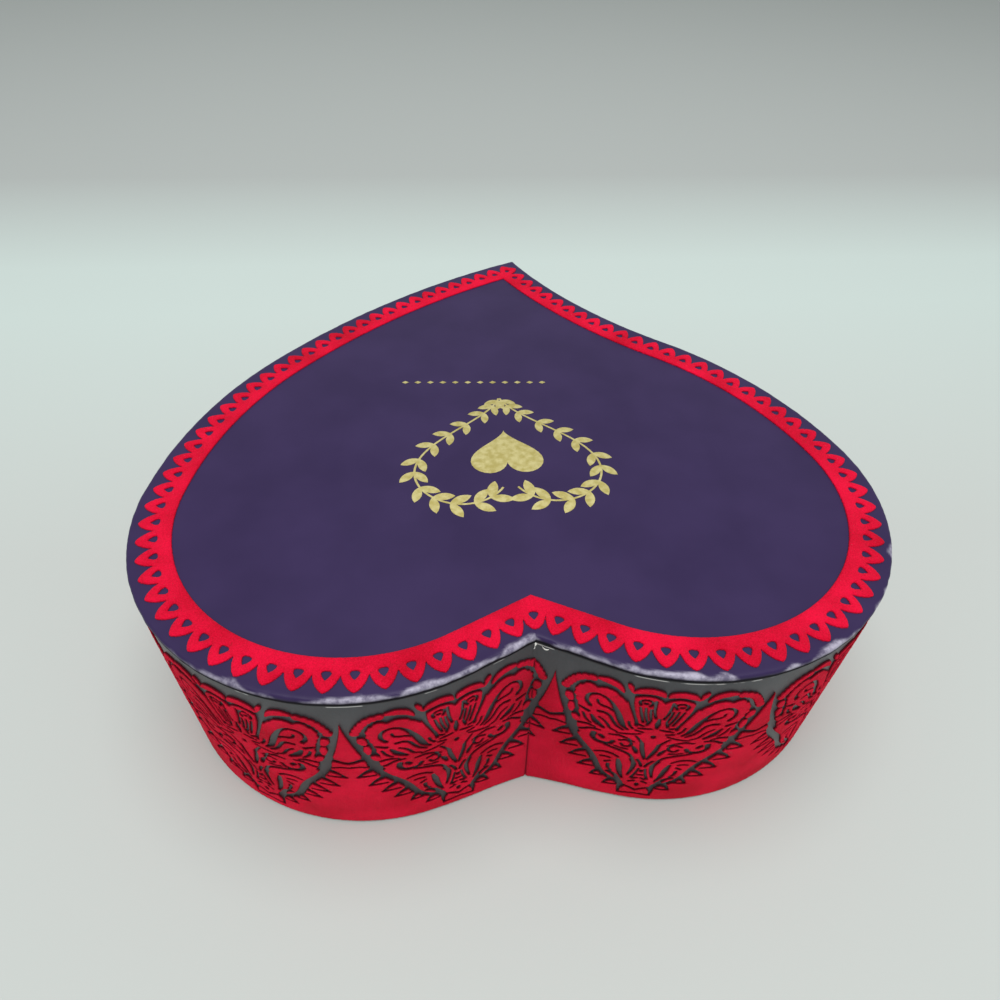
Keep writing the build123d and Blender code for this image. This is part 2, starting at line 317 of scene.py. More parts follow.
floor_finish, tree, shader = finish("pale_floor")
depth = put(tree, "ShaderNodeSeparateXYZ", {"Vector": place_on_surface(tree)}).outputs["Y"]
floor_tone = fade(depth, 0.0, FLOOR_DRIFT, FLOOR_NEAR, FLOOR_FAR)
floor_tone = cover_with(spread(depth, BACKDROP_FROM, BACKDROP_FULL), floor_tone, BACKDROP)
feed(shader, {"Base Color": floor_tone, "Roughness": 0.8, "Specular IOR Level": 0.2})
floor_mesh = bpy.data.meshes.new("floor")
corners = [(-1, -1), (1, -1), (1, 1), (-1, 1)]
floor_mesh.from_pydata([(x * FLOOR_HALF, y * FLOOR_HALF, 0) for x, y in corners], [], [(0, 1, 2, 3)])
floor_mesh.materials.append(floor_finish)
floor = add("floor", floor_mesh)


def lamp(name, place, size, watts):
    """A round lamp that looks at the origin."""
    light = bpy.data.lights.new(name, "AREA")
    light.shape = "DISK"
    light.size = size
    light.energy = watts
    holder = add(name, light)
    holder.location = place
    holder.rotation_mode = "QUATERNION"
    holder.rotation_quaternion = (-Vector(place)).to_track_quat("-Z", "Y")


lamp("sky_panel", place=(0.0, -0.10, 1.2), size=1.0, watts=11.0)
lamp("front_panel", place=(0.02, -0.78, 0.75), size=0.3, watts=3.0)
world = bpy.data.worlds.new("studio")
world.use_nodes = True
glow = {"Color": (*WORLD_LIGHT, 1), "Strength": WORLD_STRENGTH}
feed(world.node_tree.nodes["Background"], glow)
scene.world = world
print("floor and two lamps set")

# %% [markdown]
# Flock is a carpet of fibres half a millimetre long. Single fibres are too fine to show, but they scatter light
# at grazing angles, which Blender calls sheen, and stroking them leaves paler and darker patches. So the finish
# is a rough red with sheen, slow blotches for the stroked pile and a fast grain for the fibre ends. The roots of
# the pile get little light, so a number painted on each point darkens them.


# %% Flock finish
FLOCK_SHADE_COLOUR = (0.026, 0.0015, 0.005)
STROKED_SCALE = 90
FIBRE_SCALE = 3800
FIBRE_DEPTH = 0.00035


def flock_finish(name, dark, bright, sheen_colour):
    material, tree, shader = finish(name)
    grain = cloud(tree, FIBRE_SCALE, 3.0, 0.7)
    both = average(cloud(tree, STROKED_SCALE, 3.0), grain)
    colour = fade(both, 0.38, 0.62, dark, bright)
    # Painted shade: where root_shade is painted, the red is covered by a near-black colour
    feed(shader, {
        "Base Color": cover_with(painted(tree, "root_shade"), colour, FLOCK_SHADE_COLOUR),
        "Roughness": 0.95,
        "Specular IOR Level": 0.10,
        "Sheen Weight": 0.08,
        "Sheen Roughness": 0.4,
        "Sheen Tint": (*sheen_colour, 1),
        "Normal": relief(grain, FIBRE_DEPTH, 0.9),
    })
    return material


border_flock = flock_finish(
    "border_flock", dark=(0.48, 0.001, 0.016), bright=(0.82, 0.004, 0.042), sheen_colour=(1.0, 0.25, 0.33)
)
skirt_flock = flock_finish(
    "skirt_flock", dark=(0.50, 0.001, 0.016), bright=(0.82, 0.004, 0.040), sheen_colour=(1.0, 0.22, 0.30)
)
print("flock finishes", border_flock.name, skirt_flock.name)

# %% [markdown]
# The papers differ in colour, gloss and fibre. The lid's cover is a dark laminate with a soft gloss; the side
# paper is dyed and a little shiny; gummed tape and card are brown. One helper makes a fibrous sheet from a row of
# numbers. The laminate and the foil have their own short recipes. The greyboard keeps the frame's plain finish.

# %% Paper and card finishes
# base colour, fleck colour, fibres in a metre, roughness, depth of the tooth in metres
SHEETS = {
    "white_sheet": ((0.74, 0.72, 0.68), (0.84, 0.82, 0.78), 1800, 0.8, 0.00005),
    "gummed_tape": ((0.42, 0.30, 0.18), (0.56, 0.43, 0.28), 1600, 0.7, 0.00006),
    "brown_card": ((0.11, 0.052, 0.032), (0.17, 0.085, 0.052), 1700, 0.6, 0.00006),
    "pad_paper": ((0.15, 0.075, 0.045), (0.23, 0.12, 0.075), 1400, 0.62, 0.00008),
    "side_paper": ((0.021, 0.0215, 0.026), (0.034, 0.035, 0.042), 2600, 0.40, 0.00003),
}
FIBRE_STRETCH = (1, 1, 0.35)
MOTTLE_COARSER = 14
RIM_SHADOW_COLOUR = (0.006, 0.006, 0.007)
PAPER_CORE = (0.86, 0.84, 0.82)


def fibrous(name, base, fleck, fibre_scale, roughness, depth):
    """Sheet with slow mottling, fine fibres and a slight tooth."""
    material, tree, shader = finish(name)
    stretched = put(tree, "ShaderNodeMapping", {"Vector": place_on_surface(tree), "Scale": FIBRE_STRETCH})
    fibre = cloud(tree, fibre_scale, 4.0, 0.65, stretched.outputs["Vector"])
    both = average(fibre, cloud(tree, fibre_scale / MOTTLE_COARSER, 2.0))
    feed(shader, {
        "Base Color": fade(both, 0.36, 0.66, base, fleck),
        "Roughness": roughness,
        "Specular IOR Level": 0.3,
        "Normal": relief(fibre, depth, 0.6),
    })
    return material


sheets = {name: fibrous(name, *recipe) for name, recipe in SHEETS.items()}

# Painted shadow darkens the side paper along its upper edge, under the rim, and its white core shows there in short
# dashes
tree = sheets["side_paper"].node_tree
shader = tree.nodes["Principled BSDF"]
dyed = shader.inputs["Base Color"].links[0].from_socket
shadowed = cover_with(painted(tree, "edge_shade"), dyed, RIM_SHADOW_COLOUR)
cored = cover_with(painted(tree, "white_core"), shadowed, PAPER_CORE)
feed(shader, {"Base Color": cored, "Specular IOR Level": 0.5})
print("sheets", *sheets)


# %% Laminate and foil finishes
RIM_HIGHLIGHT_COLOUR = (0.40, 0.37, 0.46)
UNDER_RIM_SHADE = (0.004, 0.003, 0.007)


def laminate_finish():
    """Dark satin film with a painted highlight along the roll of the rim and painted near-black shade on its
    underside.
    """
    material, tree, shader = finish("purple_laminate")
    colour = fade(cloud(tree, 60, 3.0), 0.35, 0.65, (0.026, 0.0150, 0.059), (0.032, 0.0190, 0.070))
    streaks = spread(cloud(tree, 600, 4.0, 0.6), 0.36, 0.62, 0.25, 0.95)
    # Painted highlight: a pale lilac laid in streaks along the front of the rim's roll
    highlight_share = maths("MULTIPLY", painted(tree, "rim_highlight"), streaks)
    colour = cover_with(highlight_share, colour, RIM_HIGHLIGHT_COLOUR)
    # Painted shade: the underside of the rim is made near black and rough
    under = painted(tree, "under_shade")
    feed(shader, {
        "Base Color": cover_with(under, colour, UNDER_RIM_SHADE),
        "Roughness": spread(under, 0.0, 1.0, 0.40, 0.95),
        "Specular IOR Level": 0.16,
        "Normal": relief(cloud(tree, 900, 3.0), 0.00002, 0.5),
    })
    return material


def foil_finish():
    material, tree, shader = finish("gold_foil")
    feed(shader, {
        "Base Color": fade(cloud(tree, 700, 3.0), 0.35, 0.65, (0.70, 0.58, 0.20), (0.92, 0.80, 0.38)),
        "Metallic": 1.0,
        "Roughness": 0.42,
        "Normal": relief(cloud(tree, 2500, 2.0), 0.00003, 0.5),
    })
    return material


laminate = laminate_finish()
gold_foil = foil_finish()
SOLID_FINISHES = {
    "side_paper": ("base_side_wrap", "base_bottom_paper"),
    "white_sheet": ("lid_liner", "base_floor_paper"),
    "gummed_tape": ("lid_seam_stay", "base_seam_stay"),
    "brown_card": tuple(name for name in nodes if name.startswith("divider_")),
}
for finish_name, names in SOLID_FINISHES.items():
    for name in names:
        nodes[name].data.materials.clear()
        nodes[name].data.materials.append(sheets[finish_name])
print("finishes put on", sum(len(names) for names in SOLID_FINISHES.values()), "solids")

# %% [markdown]
# Every new piece ends the same way: points in millimetres become a mesh in metres, the mesh gets a finish and
# smooth shading, and the piece rides on the body that carries it. Sheets that follow the outline are swept:
# rings of points, one for each place in the profile, joined by four-sided faces.


# %% Turn points into a piece
NOISE_ROW = 0.37


def make_piece(name, points, faces, material, body, smooth=True):
    mesh = bpy.data.meshes.new(name)
    mesh.from_pydata((np.asarray(points) * MM).tolist(), [], [list(map(int, f)) for f in faces])
    mesh.validate()
    mesh.materials.append(material)
    if smooth:
        mesh.shade_smooth()
    else:
        mesh.shade_flat()
    piece = add(name, mesh)
    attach(piece, body)
    print(name, len(mesh.vertices), "points", len(mesh.polygons), "faces")
    return piece


def paint(piece, name, values):
    """Writes one number per point, which a material can read by name."""
    layer = piece.data.attributes.new(name, "FLOAT", "POINT")
    layer.data.foreach_set("value", np.asarray(values, np.float32))


def ring_faces(rings, around, closed):
    """Four-sided faces between rings of points; a closed profile joins its last ring to its first."""
    faces = []
    for ring in range(rings if closed else rings - 1):
        a, b = ring * around, (ring + 1) % rings * around
        for k in range(around):
            after = (k + 1) % around
            faces.append((a + k, b + k, b + after, a + after))
    return faces


def waves(distances, *parts):
    """Random waves along the outline, added up. Each part is a height, a wavelength and a seed."""
    return np.array([
        sum(height * noise.noise(Vector((s / length, seed, NOISE_ROW))) for height, length, seed in parts)
        for s in distances
    ])


# %% [markdown]
# The cover paper goes over the lid's edge and is glued underneath, so the rim is a soft roll with small waves
# where the paper was pulled round, most of all in the cleft. Each place in the profile is an inset from the rim
# and a height. The waves come from noise along the outline, stand outwards only, so that the board never shows,
# and die out at the flat top. Another wave says how far up the roll a painted highlight reaches.

# %% Lid cover with its rolled rim
LID_TOP = 51.0
COVER = 0.25
RIM_BOTTOM = 49.1
TURN_UNDER = 9.0
RIM_STEPS = 720
PROBE = 0.5
RIM_WAVES = ((0.12, 9, 1), (0.12, 2.6, 2))
LIFT_WAVES = ((0.12, 11, 5), (0.12, 3.1, 6))
CRUMPLE = 2.2
CRUMPLE_REACH = 7
HIGHLIGHT_FACING = np.array([0.35, -0.94])
HIGHLIGHT_SIDE, HIGHLIGHT_START = 1.6, 0.35
HIGHLIGHT_MEAN = 0.55
HIGHLIGHT_WAVES = ((1.6, 13, 8), (1.1, 3.4, 9))
HIGHLIGHT_EDGE = 0.5
CRUMB_HEIGHT, CRUMB_LENGTH, CRUMB_SEED = 0.25, 1.5, 30
NO_HIGHLIGHT = 9.0
PLAIN = (0.0, 0.0, NO_HIGHLIGHT, 0.0)
# inset, height, share of the wave, share of the lift, way up the roll from its edge for the painted highlight,
# share of painted shade
RIM_PROFILE = (
    (4, LID_TOP, *PLAIN),
    (2.6, LID_TOP, 0, 0, 2.8, 0),
    (1.9, LID_TOP, 0, 0, 2.1, 0),
    (1.4, LID_TOP + 0.01, 0.1, 0.15, 1.65, 0),
    (1, LID_TOP + 0.01, 0.25, 0.35, 1.25, 0),
    (0.62, LID_TOP, 0.5, 0.6, 0.9, 0),
    (0.36, LID_TOP - 0.06, 0.8, 0.6, 0.6, 0),
    (0.16, LID_TOP - 0.2, 1, 0.4, 0.35, 0),
    (0.03, LID_TOP - 0.48, 1, 0, 0.1, 0),
    (0, LID_TOP - 0.8, 1, 0, 0, 0.5),
    (0, LID_TOP - 1, 1, 0, 0.3, 1),
    (0.1, LID_TOP - 1.72, 0.8, 0, NO_HIGHLIGHT, 1),
    (0.3, RIM_BOTTOM, 0.4, 0, NO_HIGHLIGHT, 1),
    (1.4, RIM_BOTTOM, 0, 0, NO_HIGHLIGHT, 1),
    (TURN_UNDER, RIM_BOTTOM, *PLAIN),
    (TURN_UNDER, RIM_BOTTOM + COVER, *PLAIN),
    (0.3, RIM_BOTTOM + COVER, *PLAIN),
    (0.3, LID_TOP - COVER, *PLAIN),
    (4, LID_TOP - COVER, *PLAIN),
)


def outward_at(inset):
    """Outward directions all along the outline."""
    return (heart_loop(inset, RIM_STEPS) - heart_loop(inset + PROBE, RIM_STEPS)) / PROBE


around = 2 * RIM_STEPS
whole_way = sum(run_lengths("right", 0) + run_lengths("left", 0))
stations = np.arange(around) * whole_way / around
from_crease = np.minimum(stations, whole_way - stations)
crumple = 1 + CRUMPLE * np.exp(-((from_crease / CRUMPLE_REACH) ** 2))
rim_wave = np.abs(waves(stations, *RIM_WAVES)) * crumple
rim_lift = np.abs(waves(stations, *LIFT_WAVES)) * crumple
# The painted highlight is kept to the side of the rim that faces the front
lit_front = np.clip(outward_at(0) @ HIGHLIGHT_FACING * HIGHLIGHT_SIDE - HIGHLIGHT_START, 0, 1)
highlight_reach = (HIGHLIGHT_MEAN + waves(stations, *HIGHLIGHT_WAVES)) * lit_front
rings = []
rim_highlights = []
for inset, height, share, lift, way_up, _ in RIM_PROFILE:
    loop = heart_loop(inset, RIM_STEPS) + outward_at(inset) * (rim_wave * share)[:, None]
    rings.append(np.column_stack([loop, height + rim_lift * lift]))
    crumbs = waves(stations, (CRUMB_HEIGHT, CRUMB_LENGTH, CRUMB_SEED + way_up))
    rim_highlights.append(np.clip((highlight_reach - way_up) / HIGHLIGHT_EDGE + crumbs, 0, 1) * lit_front)
cover_faces = ring_faces(len(rings), around, False)
last_ring = (len(rings) - 1) * around
cover_faces.append(list(range(around)))
cover_faces.append([last_ring + k for k in reversed(range(around))])
cover = make_piece("cover_sheet", np.vstack(rings), cover_faces, laminate, "lid")
# Painted highlight on the rim, one number on each point
paint(cover, "rim_highlight", np.concatenate(rim_highlights))
# Painted shade, near black, on the rim's underside
paint(cover, "under_shade", np.repeat([row[-1] for row in RIM_PROFILE], around))
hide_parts("lid_cover_paper")

# %% [markdown]
# The skirt hangs free at its lower edge, and at the cleft its crease has opened outwards by a few millimetres
# towards the table. A table of places and outward directions, one every quarter millimetre from tip to tip,
# describes the skirt; the lean is added where the crease is near. The side paper is then swept round it.

# %% Side paper with its leaning crease
SKIRT_INSET = 0.35
CREASE_LEAN = 3.2
LEAN_REACH = 22.0
LEAN_POWER = 1.6
FLAP_STEPS = 40
PATH_STEP = 0.25


def skirt_side(side):
    """Distance from the crease, place and outward direction along one side of the skirt."""
    arcs = side_arcs(side, 0)
    crease = crease_point(0)
    total = run_lengths(side, 0)[0]
    shares = np.linspace(0, 1, FLAP_STEPS)
    places = [crease + shares[:, None] * (flap_end(side, 0) - crease)]
    outward = [np.repeat(ray(arcs[0][3])[None], FLAP_STEPS, axis=0)]
    distances = [shares * total]
    for centre, radius, bulge, first, last in arcs:
        length = radius * abs(math.radians(last - first))
        angles = np.linspace(first, last, int(length / PATH_STEP) + 2)[1:]
        rays = np.array([ray(a) for a in angles])
        places.append(centre + rays * radius)
        outward.append(rays * bulge)
        distances.append(total + np.linspace(0, length, len(angles) + 1)[1:])
        total += length
    return np.concatenate(distances), np.vstack(places), np.vstack(outward)


skirt_left, skirt_right = [skirt_side(side) for side in SIDES]
left_end, right_end = skirt_left[0][-1], skirt_right[0][-1]
path_distance = np.concatenate([-skirt_left[0][:0:-1], skirt_right[0]])
path_place, path_outward = [np.vstack([skirt_left[k][:0:-1], skirt_right[k]]) for k in (1, 2)]


def near(distance, reach):
    """1 at distance 0, and 0 from the reach on."""
    return np.clip(1 - np.abs(distance) / reach, 0, 1)


def lean(distance, height):
    """How far the skirt stands out towards -Y near the crease."""
    return CREASE_LEAN * near(distance, LEAN_REACH) ** LEAN_POWER * np.clip(1 - height / RIM_BOTTOM, 0, 1)


def on_skirt(distance, height, out):
    """Place on the skirt: distance from the crease (left is negative), height, stand-off from the rim line."""
    x, y = [np.interp(distance, path_distance, path_place[:, k]) for k in (0, 1)]
    nx, ny = [np.interp(distance, path_distance, path_outward[:, k]) for k in (0, 1)]
    return np.column_stack([x + nx * out, y + ny * out - lean(distance, height), height])


PAPER_TOP = RIM_BOTTOM - 0.05
HEM = 12.4
CORE_WAVES = ((3.5, 5, 21), (1.8, 1.7, 22))
CORE_MEAN = -0.55
CORE_MOST = 0.5
HEM_INSET = 1.0
# inset, height, painted shadow under the rim, white core
PAPER_PROFILE = (
    (SKIRT_INSET, PAPER_TOP, 1, 0), (SKIRT_INSET, 48.62, 1, 0), (SKIRT_INSET, 48.5, 0, 1),
    (SKIRT_INSET, 48.36, 0, 1), (SKIRT_INSET, 48.25, 0, 0), (SKIRT_INSET, 0.4, 0, 0), (2.09, 0.4, 0, 0),
    (2.09, HEM, 0, 0), (1.84, HEM, 0, 0), (1.84, 0.65, 0, 0), (0.6, 0.65, 0, 0), (0.6, PAPER_TOP, 0, 0),
)
walked = np.concatenate([np.arange(RIM_STEPS) * right_end, np.arange(-RIM_STEPS, 0) * left_end])
walked = walked / RIM_STEPS
core_dashes = np.clip(waves(walked, *CORE_WAVES) + CORE_MEAN, 0, CORE_MOST)
rings = []
for inset, height, _, _ in PAPER_PROFILE:
    loop = heart_loop(inset, RIM_STEPS)
    if inset < HEM_INSET:
        loop[:, 1] -= lean(walked, height)
    rings.append(np.column_stack([loop, np.full(around, height)]))
paper_faces = ring_faces(len(rings), around, True)
side_sheet = make_piece(
    "side_sheet", np.vstack(rings), paper_faces, sheets["side_paper"], "lid"
)
# Painted shadow: the top rows of the side paper, just under the rim, are made near black
paint(side_sheet, "edge_shade", np.repeat([dark for _, _, dark, _ in PAPER_PROFILE], around))
paint(side_sheet, "white_core", np.concatenate([pale * core_dashes for _, _, _, pale in PAPER_PROFILE]))
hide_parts("lid_side_wrap")

# %% [markdown]
# Lace is easiest to draw as a field: for each place, the distance to the nearest edge, positive on the pile and
# negative in the gaps. Strokes with a width are the pens. Petals and beads are added with the larger of two
# fields, cuts are taken away with the smaller, and any drawing made this way joins up cleanly.


# %% Pens for drawing lace
FAR = 99.0


def smooth_line(points, steps=6):
    """Catmull-Rom curve through given places."""
    p = np.array(points, float)
    p = np.vstack([2 * p[0] - p[1], p, 2 * p[-1] - p[-2]])
    line = []
    for k in range(1, len(p) - 2):
        for t in np.arange(steps) / steps:
            a = 2 * p[k]
            b = p[k + 1] - p[k - 1]
            c = 2 * p[k - 1] - 5 * p[k] + 4 * p[k + 1] - p[k + 2]
            d = 3 * p[k] - p[k - 1] - 3 * p[k + 1] + p[k + 2]
            line.append((a + b * t + c * t * t + d * t**3) / 2)
    return np.array(line + [p[-2]])


def from_piece(across, up, start, end):
    """Share along a straight piece of line and distance from it, for every place."""
    dx, dy = end[0] - start[0], end[1] - start[1]
    share = ((across - start[0]) * dx + (up - start[1]) * dy) / max(dx * dx + dy * dy, 1e-9)
    share = np.clip(share, 0, 1)
    return share, np.hypot(across - start[0] - share * dx, up - start[1] - share * dy)


def stroke(across, up, points, widths):
    """Field of a pen stroke. Widths are half-widths spread along the curve; positive inside."""
    line = smooth_line(points)
    radii = np.interp(np.linspace(0, 1, len(line)), np.linspace(0, 1, len(widths)), widths)
    field = np.full(across.shape, -FAR)
    for k in range(len(line) - 1):
        share, distance = from_piece(across, up, line[k], line[k + 1])
        field = np.maximum(field, radii[k] + (radii[k + 1] - radii[k]) * share - distance)
    return field


def filled(across, up, points):
    """Field of a closed outline with straight sides; positive inside."""
    inside = np.zeros(across.shape, bool)
    nearest = np.full(across.shape, FAR)
    for (x0, y0), (x1, y1) in zip(points, [*points[1:], points[0]]):
        crosses = (y0 > up) != (y1 > up)
        reach = x0 + (up - y0) * (x1 - x0) / (y1 - y0 if y1 != y0 else 1e-9)
        inside ^= crosses & (across < reach)
        nearest = np.minimum(nearest, from_piece(across, up, (x0, y0), (x1, y1))[1])
    return np.where(inside, nearest, -nearest)


# %% [markdown]
# A field becomes a mesh in two moves. Marching squares finds the line where the field passes a level, one short
# edge per grid cell. A Delaunay triangulation then fills between the edges. Three levels are used: the foot of the
# pile, a shoulder a little inside it and the crown, so every shape gets a rounded, padded edge.

# %% From field to lace mesh
CROWN_CLEARANCE = 1.3
MERGE_WITHIN = 1e-5
LAST_CELL = 1.001
# Which borders of a grid cell the line joins, by the corners that lie above the level
CELL_EDGES = {
    1: [(3, 0)], 2: [(0, 1)], 3: [(3, 1)], 4: [(1, 2)], 5: [(3, 2), (0, 1)], 6: [(0, 2)], 7: [(3, 2)],
    8: [(2, 3)], 9: [(2, 0)], 10: [(0, 3), (1, 2)], 11: [(1, 2)], 12: [(1, 3)], 13: [(0, 1)], 14: [(3, 0)],
}


def level_line(xs, ys, field, level):
    """Points and edges of the line where the field passes a level (marching squares)."""
    f = field - level
    flat = np.full(f.shape, -1)
    tall = np.full(f.shape, -1)
    i, j = np.nonzero((f[:-1] > 0) != (f[1:] > 0))
    share = f[i, j] / (f[i, j] - f[i + 1, j])
    points = np.column_stack([xs[i] + share * (xs[i + 1] - xs[i]), ys[j]])
    flat[i, j] = np.arange(len(i))
    i, j = np.nonzero((f[:, :-1] > 0) != (f[:, 1:] > 0))
    share = f[i, j] / (f[i, j] - f[i, j + 1])
    tall[i, j] = len(points) + np.arange(len(i))
    points = np.vstack([points, np.column_stack([xs[i], ys[j] + share * (ys[j + 1] - ys[j])])])
    above = (f > 0).astype(int)
    case = above[:-1, :-1] + 2 * above[1:, :-1] + 4 * above[1:, 1:] + 8 * above[:-1, 1:]
    edges = []
    for number, pairs in CELL_EDGES.items():
        i, j = np.nonzero(case == number)
        borders = (flat[i, j], tall[i + 1, j], flat[i, j + 1], tall[i, j])
        for first, second in pairs:
            edges.append(np.column_stack([borders[first], borders[second]]))
    return points, np.vstack(edges)


def grid_places(xs, ys):
    return np.stack(np.meshgrid(xs, ys, indexing="ij"), axis=-1).reshape(-1, 2)


def sample(xs, ys, field, points):
    """Field between grid places."""
    gx = np.clip((points[:, 0] - xs[0]) / (xs[1] - xs[0]), 0, len(xs) - LAST_CELL)
    gy = np.clip((points[:, 1] - ys[0]) / (ys[1] - ys[0]), 0, len(ys) - LAST_CELL)
    i, j = gx.astype(int), gy.astype(int)
    a, b = gx - i, gy - j
    low = field[i, j] * (1 - a) + field[i + 1, j] * a
    high = field[i, j + 1] * (1 - a) + field[i + 1, j + 1] * a
    return low * (1 - b) + high * b


def triangles(points, edges, keep):
    """Delaunay triangles whose middle passes the test, as numbers of the given points."""
    made = delaunay_2d_cdt([Vector(p) for p in points.tolist()], edges.tolist(), [], 0, MERGE_WITHIN)
    first = np.array([own[0] if own else -1 for own in made[3]])
    corners = first[np.array([f for f in made[2] if len(f) == 3])]
    corners = corners[(corners >= 0).all(axis=1)]
    return corners[keep(points[corners].mean(axis=1))]


def lace_mesh(xs, ys, field, levels, inner_spacing, extra):
    """Flat lace: points, their rank (0 foot, 1 shoulder, 2 pile, 3 back) and the faces of front and back."""
    (foot, foot_edges), (shoulder, shoulder_edges), (crown, crown_edges) = [
        level_line(xs, ys, field, level) for level in levels
    ]
    inner = grid_places(*[np.arange(v[0], v[-1], inner_spacing) for v in (xs, ys)])
    inner = np.vstack([inner, extra])
    inner = inner[sample(xs, ys, field, inner) > levels[2] * CROWN_CLEARANCE]
    points = np.vstack([foot, shoulder, crown, inner])
    edges = [foot_edges, shoulder_edges + len(foot), crown_edges + len(foot) + len(shoulder)]
    back_points = np.vstack([foot, inner])

    def on_lace(places):
        return sample(xs, ys, field, places) > 0

    front = triangles(points, np.vstack(edges), on_lace)
    back = triangles(back_points, foot_edges, on_lace)
    back = np.where(back < len(foot), back, back + len(points) - len(foot))
    rank = np.repeat([0, 1, 2, 3], [len(foot), len(shoulder), len(crown) + len(inner), len(inner)])
    return np.vstack([points, inner]), rank, np.vstack([front, back[:, ::-1]])


# %% [markdown]
# The skirt lace repeats twelve times round the box. Half a repeat is drawn here, in millimetres from the
# heart's axis and from the table: petals along the top, a scalloped lobe with a scroll, leaves, a toothed channel
# and a tall spire to the next heart. The other half is its mirror image.

# %% Draw half a lace heart
HEARTS = 12
# Half-widths along each petal, then the places it passes through
PETALS = (
    ((0.35, 0.95, 1.05, 0.95, 0.35), ((0.4, 45.5), (1.3, 46.4), (2.9, 46.7), (4.6, 46.2), (6, 45.1))),
    ((0.3, 0.62, 0.45), ((6.4, 45.3), (6.8, 46.6), (7.2, 47.5))),
    ((0.6, 1, 0.95, 0.6, 0.2), ((12.6, 46.9), (11.1, 47), (9.6, 46.5), (8.5, 45.4), (7.8, 44.2))),
    ((0.85, 0.95, 0.75), ((18, 37.8), (17.9, 37), (17.6, 36.2))),
    ((0.6, 0.85, 0.55), ((17.3, 34.6), (17.2, 33.2), (17.1, 31.9))),
    ((0.7, 0.9, 0.7), ((16.3, 30.1), (15.9, 29.4), (15.5, 28.8))),
)
BEAD_LINE = ((14, 46.2), (15.5, 45.7), (16.7, 44.8), (17.6, 43.5), (18.3, 42.1), (18.9, 40.6))
BEADS = 7
BEAD_RADIUS = 1.0
BODY = (
    (-0.9, 44.1), (0, 43), (0.9, 44.1), (2, 44.7), (3, 44.8), (4.2, 44.5), (5.2, 43.9), (5.8, 43.2),
    (6.4, 41.2), (6.9, 41), (7.8, 42.3), (8.4, 42.7), (9.1, 43.7), (10, 44.1), (11, 44.3), (12, 44),
    (12.8, 43.4), (13.6, 44), (14.4, 44.2), (15.2, 43.8), (15.6, 42.9), (16.3, 42.6), (16.6, 41.6), (17.1, 40.6),
    (16.9, 39.7), (17.2, 38.8), (16.6, 37.9), (16.6, 36.9), (16.1, 35.9), (16.1, 34.6), (15.6, 33.6), (15.7, 32.2),
    (15.2, 31), (15.1, 29.4), (15.6, 27.8), (15.4, 26), (14.6, 24.6), (15, 24), (25, 24), (25, -3),
    (-4, -3), (-4, 44),
)
SPIRE = (
    (21.3, 44.3), (20.95, 41.4), (20.45, 38.6), (19.85, 35.6), (19.25, 33), (18.5, 30.6), (17.9, 29.9),
    (19.2, 29.5), (20.3, 28.7), (21.5, 28.2), (23.5, 29), (22.75, 35.6),
)
GROUND = (
    (17.3, 26.4), (18.3, 28.6), (19.6, 28.4), (20.6, 27.6), (25, 27.2), (25, 20), (15, 20), (16.2, 23.4),
)

# %% [markdown]
# Everything inside the heart is drawn by what is cut away. Each line below is one cut: its half-widths from
# start to end, then the places it passes through.

# %% Cuts inside the lace heart
FAN_CUTS = (
    ((0.2, 0.22, 0.2), ((1.6, 43.4), (1.5, 41.4), (1.3, 39), (0.8, 36.8))),
    ((0.22, 0.22), ((4.3, 41.2), (4.5, 42.4), (3.6, 43.3), (2.5, 43.1), (2.1, 42.1), (2.5, 41.2))),
    ((0.3, 0.3), ((3.2, 42), (3.5, 42))),
    ((0.12, 0.22, 0.18), ((4.2, 40.2), (3.6, 37.4), (2.9, 34.4))),
    ((0.12, 0.22, 0.18), ((3.1, 40.2), (2.8, 37.6), (2.2, 34.8))),
    ((0.12, 0.2, 0.16), ((2.1, 40), (1.9, 37.8), (1.5, 35.4))),
    ((0.75, 0.38, 0.24, 0.24, 0.3), ((6.5, 43.6), (5.9, 40.4), (5, 37), (4.2, 34.4), (3.9, 32.7))),
    ((0.14, 0.48, 0.22), ((0, 36.6), (0, 34.4), (0, 32.6))),
    ((0.28, 0.24), ((1.7, 34.9), (2, 33.6))),
    ((0.22, 0.3), ((2.6, 32.9), (3.8, 33.4))),
    ((0.2, 0.26, 0.2), ((0.9, 32.2), (2, 31.9), (3.3, 31.7))),
    ((0.26, 0.22), ((2.4, 30.3), (3.7, 30.6))),
    ((0.42, 0.42), ((0, 28.6), (0, 29))),
    ((0.16, 0.22), ((5.5, 33.6), (5.2, 32.2), (4.5, 31.2))),
)
